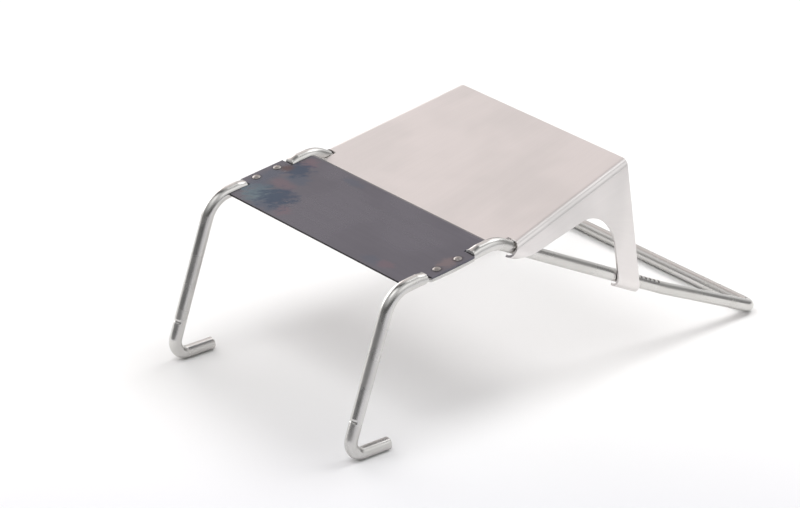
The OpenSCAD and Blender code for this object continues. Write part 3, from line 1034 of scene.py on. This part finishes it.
@dataclass
class Rivet:
    """A rivet through a tab of the blade and the seat under it, with a peened head at both ends."""

    rail: Incline
    x: float
    y: float
    shank_r: float = 1.2
    head_r: float = 1.75
    head_h: float = 0.7
    rim_h: float = 0.12
    crown: float = 2.6
    neck: float = 0.02
    top_z: float = 0.8
    low_z: float = -1.8
    # Points of the profile and round it
    dome_rings: int = 12
    round_points: int = 40
    crease: float = 40.0

    def build(self, name: str) -> bpy.types.Object:
        """Turns the rivet's profile round its axis: dome, shank and dome, with the crowns a little flattened.

        Over its rim a head rises by the rest of its height times (1 - q^crown), q its share of the radius.

        Args:
            name: Name of the piece.

        Returns:
            The rivet as one closed piece.
        """
        q = np.linspace(0.0, 1.0, self.dome_rings)
        rise = (self.head_h - self.rim_h) * (1.0 - q**self.crown) + self.rim_h
        upper = np.stack([self.head_r * q, self.top_z + rise], axis=-1)
        rim = np.array([
            [self.head_r, self.top_z], [self.shank_r, self.top_z - self.neck],
            [self.shank_r, self.low_z + self.neck], [self.head_r, self.low_z],
        ])
        lower = np.stack([self.head_r * q[::-1], self.low_z - rise[::-1]], axis=-1)
        profile = np.concatenate([upper, rim, lower])[::-1]
        angle = circle(self.round_points)
        r, z = profile[:, :1], np.broadcast_to(profile[:, 1:], (len(profile), len(angle)))
        points = np.stack([self.x + r * np.cos(angle), self.y + r * np.sin(angle), z], axis=-1).reshape(-1, 3)
        first, quads, tris = weld(points, grid_faces(len(profile), len(angle), wrap=True))
        piece = add_piece(name, self.rail.place(points[first]), quads, tris)
        piece.data.set_sharp_from_angle(angle=np.radians(self.crease))
        return piece

    def dress(self, place: str, material: bpy.types.Material) -> None:
        """Adds the rivet at a named place, in the finish that all four share."""
        fit(self.build(f"peened_rivet_{place}"), material, "stand", "rivet_steel", f"rivet_{place}")


@dataclass
class SlicingPlate:
    """The plate: one sheet with a sloping top, two folded flanges, front hooks and rear legs with lips."""

    stand: WireStand
    sheet_t: float = 1.0
    tilt: float = 13.0
    drop: float = 3.7
    front: float = 0.5
    rear: float = 77.2
    fold_r: float = 2.0
    lean: float = 11.5
    hook_front: float = 9.4
    hook_len: float = 12.1
    hook_toe: float = 2.2
    hook_turn: float = 112.0
    hook_r: float = 3.2
    hook_drop: float = 0.5
    leg_w: float = 12.0
    arch_r: float = 16.0
    arch_drop: float = 3.9
    arch_slope: float = 9.5
    tongue_half: float = 56.75
    room_r: float = 3.05
    ear_place: float = 84.2
    ear_reach: float = 2.0
    ear_low: float = 3.54
    ear_h: float = 3.0
    ear_root: float = 0.3
    lay_stretch: float = 1.2
    edge_break: Pair = (0.12, 42.0)
    # Rows and columns of points
    columns: tuple[int, int, int] = (10, 22, 14)
    fold_steps: tuple[int, int] = (5, 10)
    tongue_columns: int = 4
    top_rows: int = 20
    strip_rows: int = 12
    flange_rows: int = 9
    wedge_rows: int = 3
    lip_rows: int = 16
    arch_rows: int = 17
    leg_rows: int = 8
    climb: float = field(init=False)
    fold_angle: float = field(init=False)
    fold_turn: float = field(init=False)
    fold_mid: Pair = field(init=False)

    def __post_init__(self) -> None:
        """Works out the fold: its angle to the rail, its turn and its middle, as the part's source does."""
        self.climb = self.tilt + self.stand.rail_slope
        self.fold_angle = np.degrees(np.arctan(tand(self.climb) / cosd(self.lean)))
        self.fold_turn = np.degrees(np.arccos(sind(self.lean) * cosd(self.climb)))
        fold_x = self.hook_r - self.fold_r
        fall = self.drop + self.fold_r + self.sheet_t - self.hook_drop * cosd(self.climb)
        self.fold_mid = (fold_x, -(fall + fold_x * cosd(self.fold_turn)) / sind(self.fold_turn))

    def from_flange(self, x: Array, y: Array, z: Array) -> Array:
        """Takes a place in the right flange's frame to the rail's frame: a turn by the lean and a drop.

        Args:
            x: Distance out from the rail.
            y: Distance along the rail.
            z: Distance up the flange.

        Returns:
            Points in the rail's frame.
        """
        x, y, z = np.broadcast_arrays(x, y, z)
        c, s = cosd(self.lean), sind(self.lean)
        return np.stack([self.stand.rail_x + x * c - z * s, y, x * s + z * c - self.hook_drop], axis=-1)

    def from_plate(self, x: Array, y: Array, z: Array) -> Array:
        """Takes a place in the plate's frame to the rail's frame: a turn by the climb.

        Args:
            x: Distance across.
            y: Distance up along the plate from the crest.
            z: Distance square to the plate.

        Returns:
            Points in the rail's frame.
        """
        x, y, z = np.broadcast_arrays(x, y, z)
        c, s = cosd(self.climb), sind(self.climb)
        return np.stack([x, y * c - z * s, y * s + z * c], axis=-1)

    def side_to_flange(self, y: Array, z: Array, out: float) -> tuple[Array, Array]:
        """Takes side-view places, counted from the crest, to the flange's frame.

        Args:
            y: Level distance from the crest.
            z: Height over the crest.
            out: Distance of the surface out from the rail.

        Returns:
            Distance along the rail and distance up the flange.
        """
        c, s = cosd(self.stand.rail_slope), sind(self.stand.rail_slope)
        lift = out * sind(self.lean) - self.hook_drop
        return y * c - z * s, (y * s + z * c - lift) / cosd(self.lean)

    def fold_rows(self, deep: float) -> tuple[Array, Array, Array, Array]:
        """Straight lines of the fold's surface, from the flange up to the top.

        On each line the sheet starts where it is past the front plane, above the lips and clear of the room
        round the wire, and ends at the level rear plane. All these are linear in the distance along the fold.

        Args:
            deep: Distance of the surface from the middle of the sheet, outwards.

        Returns:
            Distance out, height square to the fold, and start and end along the fold, for each line.
        """
        a, s, lean = self.fold_angle, self.stand.rail_slope, self.lean
        r = self.fold_r + self.sheet_t / 2 + deep
        x0, z0 = self.fold_mid
        corner = np.degrees(np.arcsin((-self.hook_front * sind(a) - z0) / r))
        n_low, n_high = self.fold_steps
        upper = np.linspace(corner, self.fold_turn, n_high)[1:]
        turn = np.concatenate([np.linspace(0.0, corner, n_low), upper])
        x, z = x0 + r * cosd(turn), z0 + r * sind(turn)
        plane = (self.hook_front + z * sind(a)) / cosd(a)
        lips = -z * cosd(a) / sind(a)
        axis_x, axis_z = self.hook_drop * sind(lean), self.hook_drop * cosd(lean)
        inside = self.room_r**2 - (x - axis_x) ** 2
        over = axis_z + np.sqrt(np.maximum(inside, 0.0)) - z * cosd(a)
        room = np.where(inside > 0, over / sind(a), plane)
        start = np.maximum(np.maximum(plane, lips), room)
        rise = x * sind(lean) + z * cosd(a) * cosd(lean) - self.hook_drop
        end = (self.rear + z * sind(a) * cosd(s) - rise * sind(s)) / (
            cosd(a) * cosd(s) + sind(a) * cosd(lean) * sind(s))
        return x, z, start, end

    def fold_points(self, x: Array, z: Array, run: Array) -> Array:
        """Points on lines of the fold, in the rail's frame: a turn by the fold's angle in the flange."""
        c, s = cosd(self.fold_angle), sind(self.fold_angle)
        return self.from_flange(x, run * c - z * s, run * s + z * c)

    def arch(self) -> tuple[float, float, float, float, float]:
        """Arch between the flange and the rear leg, in side view, counted from the crest.

        Returns:
            Place of the arc's middle, place where the arc leaves the flange's lower edge, and height of that
            edge's line at the rear.
        """
        mid_y, mid_z = self.rear - self.leg_w - self.arch_r, -self.arch_drop - self.arch_r
        first_y = mid_y - self.arch_r * sind(self.arch_slope)
        first_z = mid_z + self.arch_r * cosd(self.arch_slope)
        return mid_y, mid_z, first_y, first_z, first_z + (self.rear - first_y) * tand(self.arch_slope)

    def lip_arc(self, out: float) -> tuple[Array, Array, Array]:
        """Arc of a lip round the rail.

        Args:
            out: Distance of the surface out from the rail.

        Returns:
            Distance out and distance up in the flange's frame, and height in the rail's frame.
        """
        turn = np.linspace(0.0, self.hook_turn, self.lip_rows)[:, None]
        x, z = out * cosd(turn), -out * sind(turn)
        return x, z, x * sind(self.lean) + z * cosd(self.lean) - self.hook_drop

    def top_patches(self, deep: float, edge: Array) -> list[Array]:
        """Grids of the tongue, of the top, and of the strip from the tongue's side to the fold.

        Args:
            deep: Distance of the surface from the middle of the sheet, outwards.
            edge: Points of the fold's upper line.

        Returns:
            The three grids, of straight lines.
        """
        c, s = cosd(self.climb), sind(self.climb)
        t = shares(sum(self.columns) + 1)
        z_p = -self.drop - self.sheet_t / 2 + deep
        low_y = (self.hook_front + z_p * s) / c
        rear_y = (self.rear + z_p * sind(self.tilt)) / cosd(self.tilt)
        rear_in = self.tongue_half + edge[-1, 0] - edge[0, 0]
        across = shares(self.top_rows, 1)
        tongue_y = np.linspace(self.front, low_y, self.tongue_columns)
        tongue = self.from_plate(across * self.tongue_half, tongue_y, z_p)
        top = self.from_plate(across * between(self.tongue_half, rear_in, t), between(low_y, rear_y, t), z_p)
        share = shares(self.strip_rows, 1)
        front_x, rear_x = between(self.tongue_half, edge[0, 0], share), between(rear_in, edge[-1, 0], share)
        inside = self.room_r**2 - (front_x - self.stand.rail_x) ** 2
        room = np.where(inside > 0, (np.sqrt(np.maximum(inside, 0.0)) - z_p * c) / s, low_y)
        front_y = np.maximum(room, low_y)
        strip = self.from_plate(between(front_x, rear_x, t), between(front_y, rear_y, t), z_p)
        strip[-1] = edge
        return [tongue, top, strip]

    def flange_patches(self, out: float, fold: Array) -> list[Array]:
        """Grids of the flange, of the wedge over the front hook, and of the front lip with its slanted rear.

        Args:
            out: Distance of the surface out from the rail.
            fold: Points of the fold, from its lower line up.

        Returns:
            The three grids, of straight lines and of arcs round the rail.
        """
        n_hook, n_strip, n_leg = self.columns
        n_low = self.fold_steps[0]
        tip_y = -self.fold_mid[1] / sind(self.fold_angle)
        back_y = self.hook_front + self.hook_len
        _, _, first_y, first_z, rear_z = self.arch()
        y_a, z_a = self.side_to_flange(first_y, first_z, out)
        y_r, z_r = self.side_to_flange(self.rear, rear_z, out)
        z_h = z_a + (back_y - y_a) * (z_r - z_a) / (y_r - y_a)
        hook_t = shares(n_hook + 1)
        lower_y, lower_z = (
            np.concatenate([between(tip, heel, hook_t), np.linspace(heel, first, n_strip + 1)[1:],
                            np.linspace(first, rear, n_leg + 1)[1:]])
            for tip, heel, first, rear in ((tip_y, back_y, y_a, y_r), (0.0, z_h, z_a, z_r)))
        lower = self.from_flange(out, lower_y, lower_z)
        flange = between(fold[0], lower, shares(self.flange_rows, 2))
        toe_z = -self.hook_r - self.sheet_t - self.hook_drop
        heel_z = out * sind(self.lean) + z_h * cosd(self.lean) - self.hook_drop
        slant = (back_y - self.hook_front - self.hook_toe) / (heel_z - toe_z)
        hook_y = between(tip_y, back_y - z_h * cosd(self.lean) * slant, hook_t)
        hook_top = self.from_flange(out, hook_y, 0.0)
        wedge = between(lower[:n_hook + 1], hook_top, shares(self.wedge_rows, 2))
        lip_x, lip_z, height = self.lip_arc(out)
        lip_y = np.concatenate([np.linspace(self.hook_front, tip_y, n_low)[:-1], hook_y]) - self.hook_front
        lip_end = back_y + (height - heel_z) * slant - self.hook_front
        lip = self.from_flange(lip_x, self.hook_front + lip_y * lip_end / lip_end[0], lip_z)
        lip[0] = np.concatenate([fold[n_low - 1:0:-1, 0], hook_top])
        return [flange, wedge, lip]

    def leg_patches(self, out: float) -> list[Array]:
        """Grids of the rear leg, from the arch to the rear, and of its lip, both cut by upright planes.

        Args:
            out: Distance of the surface out from the rail.

        Returns:
            The two grids, of straight lines and of arcs round the rail.
        """
        slope = self.stand.rail_slope
        lift = out * sind(self.lean) - self.hook_drop
        arch_y, arch_z, _, _, right_top = self.arch()
        left_y, right_y = self.rear - self.leg_w, self.rear
        left_foot, right_foot = ((lift - y * sind(slope)) / cosd(slope) for y in (left_y, right_y))
        down = shares(self.leg_rows)[1:]
        arc = np.linspace(90.0 + self.arch_slope, 0.0, self.arch_rows)
        left = np.concatenate([arch_y + self.arch_r * cosd(arc), np.full(len(down), left_y)])
        left_z = np.concatenate([arch_z + self.arch_r * sind(arc), between(arch_z, left_foot, down)])
        right_z = between(right_top, right_foot, shares(len(left_z)))
        leg_t = shares(self.columns[2] + 1)
        l_y, l_z = self.side_to_flange(left[:, None], left_z[:, None], out)
        r_y, r_z = self.side_to_flange(right_y, right_z[:, None], out)
        leg = self.from_flange(out, between(l_y, r_y, leg_t), between(l_z, r_z, leg_t))
        lip_x, lip_z, height = self.lip_arc(out)
        l_y, r_y = ((y - height * sind(slope)) / cosd(slope) for y in (left_y, right_y))
        return [leg, self.from_flange(lip_x, between(l_y, r_y, leg_t), lip_z)]

    def side_patches(self, deep: float) -> list[Array]:
        """Grids of the right half of one surface of the sheet, in the rail's frame.

        Every grid is made of straight lines between two edges, or of arcs round the fold or the wire, and
        neighbours share their edge points: tongue, top, strip by the fold, fold, flange, wedge over the
        front hook, front lip, rear leg and rear lip.

        Args:
            deep: Distance of the surface from the middle of the sheet, outwards.

        Returns:
            The grids, as arrays of rows of points.
        """
        out = self.hook_r + self.sheet_t / 2 + deep
        x, z, start, end = (row[:, None] for row in self.fold_rows(deep))
        fold = self.fold_points(x, z, between(start, end, shares(sum(self.columns) + 1)))
        top = self.top_patches(deep, fold[-1])
        return [*top, fold[::-1], *self.flange_patches(out, fold), *self.leg_patches(out)]

    def ears(self) -> tuple[Array, Array]:
        """The two rest ears: blocks that reach from the rear legs over the rails.

        Returns:
            Corner points in the rail's frame, and quads.
        """
        x = np.array([-self.ear_reach, self.hook_r + self.ear_root])
        y = self.ear_place + np.array([-0.5, 0.5]) * self.sheet_t
        z = self.ear_low + np.array([0.0, self.ear_h])
        gx, gy, gz = np.meshgrid(x, y, z, indexing="ij")
        right = self.from_flange(gx.ravel(), gy.ravel(), gz.ravel())
        points = np.concatenate([right, right * MIRROR])
        return points, np.concatenate([BOX_QUADS, BOX_QUADS[:, ::-1] + len(right)])

    def lay(self) -> list[Array]:
        """Lays the grids out on the flat sheet, one beside the other, for the grain.

        Returns:
            Places across, along and 0 for the points of each grid.
        """
        width = sum(self.columns) + 1
        result = []
        girth = 0.0
        for grid in self.side_patches(0.0):
            step = np.linalg.norm(np.diff(grid, axis=0), axis=-1).mean(axis=1)
            over = np.concatenate([[0.0], np.cumsum(step)])
            across = np.broadcast_to((girth + over)[:, None], grid.shape[:2])
            along = grid[..., 1] * self.lay_stretch
            result.append(np.stack([across, along, np.zeros(grid.shape[:2])], axis=-1))
            girth += over[-1] if grid.shape[1] == width else 0.0
        return result

    def build(self) -> bpy.types.Object:
        """Joins the grids of both surfaces, mirrors them, and closes the sheet along its outline.

        Returns:
            The plate as one closed piece, without its rest ears.
        """
        sides, quads, lays, start = [], [], [], 0
        half_t = self.sheet_t / 2
        for outer, inner, lay in zip(self.side_patches(half_t), self.side_patches(-half_t), self.lay()):
            rows, cols = outer.shape[:2]
            sides.append(np.concatenate([outer, inner], axis=-1).reshape(-1, 6))
            lays.append(lay.reshape(-1, 3))
            quads.append(grid_faces(rows, cols, start=start)[:, ::-1])
            start += rows * cols
        right, lays, quads = np.concatenate(sides), np.concatenate(lays), np.concatenate(quads)
        both = np.concatenate([right, right * np.tile(MIRROR, 2)])
        lays = np.concatenate([lays, lays * MIRROR])
        first, quads, tris = weld(both, np.concatenate([quads, quads[:, ::-1] + start]))
        both, lays = both[first], lays[first]
        rail = self.stand.rail()
        piece = close_sheet("bent_plate", rail.place(both[:, :3]), rail.place(both[:, 3:]), quads, tris)
        add_pattern(piece, Lay.SHEET.value, np.concatenate([lays, lays]))
        break_edges(piece, *self.edge_break)
        return piece

    def build_ears(self) -> bpy.types.Object:
        """Makes the rest ears as one piece that rides with the plate.

        Returns:
            Both ears.
        """
        points, quads = self.ears()
        piece = add_piece("rest_ears", self.stand.rail().place(points), quads)
        add_pattern(piece, Lay.SHEET.value, points)
        break_edges(piece, *self.edge_break)
        return piece

    def dress(self, effects: SteelEffects) -> None:
        """Adds the plate and its rest ears in their finish.

        Args:
            effects: The shared node groups.
        """
        material = PLATE_STEEL.material(effects)
        fit(self.build(), material, "carriage", "plate_steel", "slicing_plate")
        fit(self.build_ears(), material, "carriage", "plate_steel")


@dataclass(frozen=True)
class Lobe:
    """A bright part of the sky, by its azimuth from +X, its elevation and its gain at the middle."""

    azimuth: float
    elevation: float
    gain: float
    wide: float = 0.8
    core: float = 0.98

    def strength(self, graph: Graph, ray: Socket) -> Socket:
        """Light along a ray: it grows from 0 to the gain as the cosine to the lobe's axis grows."""
        cosine = graph.vector("DOT_PRODUCT", ray, direction(self.azimuth, self.elevation))
        return graph.ramp(cosine, (self.wide, self.core), (0.0, self.gain))


@dataclass(frozen=True)
class SoftBox:
    """A round soft light that faces the part: its direction, power in watts, distance and width in metres."""

    name: str
    azimuth: float
    elevation: float
    power: float
    distance: float = 1.5
    width: float = 0.8

    def add(self) -> None:
        """Hangs the light. The steel mirrors the sky alone, so the light hides from glossy rays."""
        data = bpy.data.lights.new(self.name, "AREA")
        data.shape, data.size, data.energy = "DISK", self.width, self.power
        toward = Vector(direction(self.azimuth, self.elevation))
        light = bpy.data.objects.new(self.name, data)
        turn = toward.to_track_quat("Z", "Y").to_matrix().to_4x4()
        light.matrix_world = Matrix.Translation(toward * self.distance) @ turn
        light.visible_glossy = False
        bpy.context.scene.collection.objects.link(light)


SKY = (
    Lobe(275.0, 66.0, 1.0, 0.92, 0.995), Lobe(90.0, 52.0, 1.5, 0.94, 0.995),
    Lobe(0.0, 50.0, 0.3), Lobe(40.0, 50.0, 0.3), Lobe(120.0, 50.0, 0.63), Lobe(240.0, 50.0, 0.14),
    Lobe(280.0, 50.0, 0.34), Lobe(320.0, 50.0, 0.35), Lobe(30.0, 24.0, 0.8), Lobe(60.0, 24.0, 0.08),
    Lobe(90.0, 24.0, 0.2), Lobe(120.0, 24.0, 0.63), Lobe(180.0, 24.0, 0.87), Lobe(210.0, 24.0, 0.4),
    Lobe(240.0, 24.0, 0.06), Lobe(270.0, 24.0, 0.08), Lobe(330.0, 24.0, 0.06), Lobe(180.0, 6.0, 2.6),
)
BOXES = (SoftBox("rear_box", 80.0, 57.0, 6.9), SoftBox("front_box", 275.0, 66.0, 4.8))


@dataclass(frozen=True)
class Studio:
    """The white studio: floor, light and camera."""

    eye: Triple = (1.14212, -0.96801, 0.72674)
    right: Triple = (0.63157, 0.77532, 0.0)
    up: Triple = (-0.3237, 0.2637, 0.9087)
    back: Triple = (0.70452, -0.5739, 0.41748)
    lens: float = 173.25
    sensor: float = 36.0
    sight: float = 40.0
    floor_half: float = 6.0
    floor_points: int = 13
    paper: PaperFinish = PaperFinish()
    sky_base: float = 0.03
    sky: tuple[Lobe, ...] = SKY
    white: Colour = (1.0, 1.0, 1.0)
    warm_side: Lobe = Lobe(155.0, 39.0, 1.0)
    warm_tint: Colour = (1.0, 0.93, 0.915)
    boxes: tuple[SoftBox, ...] = BOXES

    def add_camera(self) -> None:
        """Places the camera as in the photograph."""
        data = bpy.data.cameras.new("photo_camera")
        data.lens, data.sensor_width, data.clip_end = self.lens, self.sensor, self.sight
        camera = bpy.data.objects.new("photo_camera", data)
        turn = Matrix((self.right, self.up, self.back)).transposed().to_4x4()
        camera.matrix_world = Matrix.Translation(self.eye) @ turn
        bpy.context.scene.collection.objects.link(camera)
        bpy.context.scene.camera = camera

    def add_floor(self) -> bpy.types.Object:
        """Lays a level white floor under the part.

        Returns:
            None, since mark_backdrop returns nothing.
        """
        reach = np.linspace(-self.floor_half, self.floor_half, self.floor_points) / MM
        gx, gy = np.meshgrid(reach, reach)
        points = np.stack([gx, gy, np.zeros_like(gx)], axis=-1).reshape(-1, 3)
        floor = add_piece("studio_floor", points, grid_faces(*gx.shape))
        floor.data.materials.append(self.paper.material())
        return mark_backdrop(floor)

    def add_light(self) -> None:
        """Lights the part from a sky of soft lobes, and the floor also from the soft boxes."""
        scene = bpy.context.scene
        scene.view_settings.view_transform = "Standard"
        world = bpy.data.worlds.new("studio_sky")
        world.use_nodes = True
        scene.world = world
        graph = Graph(world.node_tree)
        ray = graph.node("ShaderNodeTexCoord").outputs["Generated"]
        strength = self.sky_base
        for lobe in self.sky:
            strength = graph.math("ADD", strength, lobe.strength(graph, ray))
        colour = graph.mix(self.warm_side.strength(graph, ray), self.white, self.warm_tint)
        sky = graph.node("ShaderNodeBackground", {"Color": colour, "Strength": strength})
        graph.node("ShaderNodeOutputWorld", {"Surface": sky.outputs[0]})
        for box in self.boxes:
            box.add()


def main() -> None:
    """Builds the studio and the pieces."""
    logging.basicConfig(level=logging.INFO, format="%(name)s: %(message)s")
    studio = Studio()
    studio.add_camera()
    studio.add_floor()
    studio.add_light()
    effects = SteelEffects()
    stand = WireStand()
    stand.dress(effects)
    seat = stand.blade_rail()
    Blade(seat).dress(effects)
    rivet_steel = RIVET_STEEL.material(effects)
    for side, x in (("left", -stand.rail_x), ("right", stand.rail_x)):
        for row, y in (("front", -stand.rivet_off), ("rear", stand.rivet_off)):
            Rivet(seat, x, stand.seat_mid + y).dress(f"{side}_{row}", rivet_steel)
    SlicingPlate(stand).dress(effects)


if __name__ == "__main__":
    main()
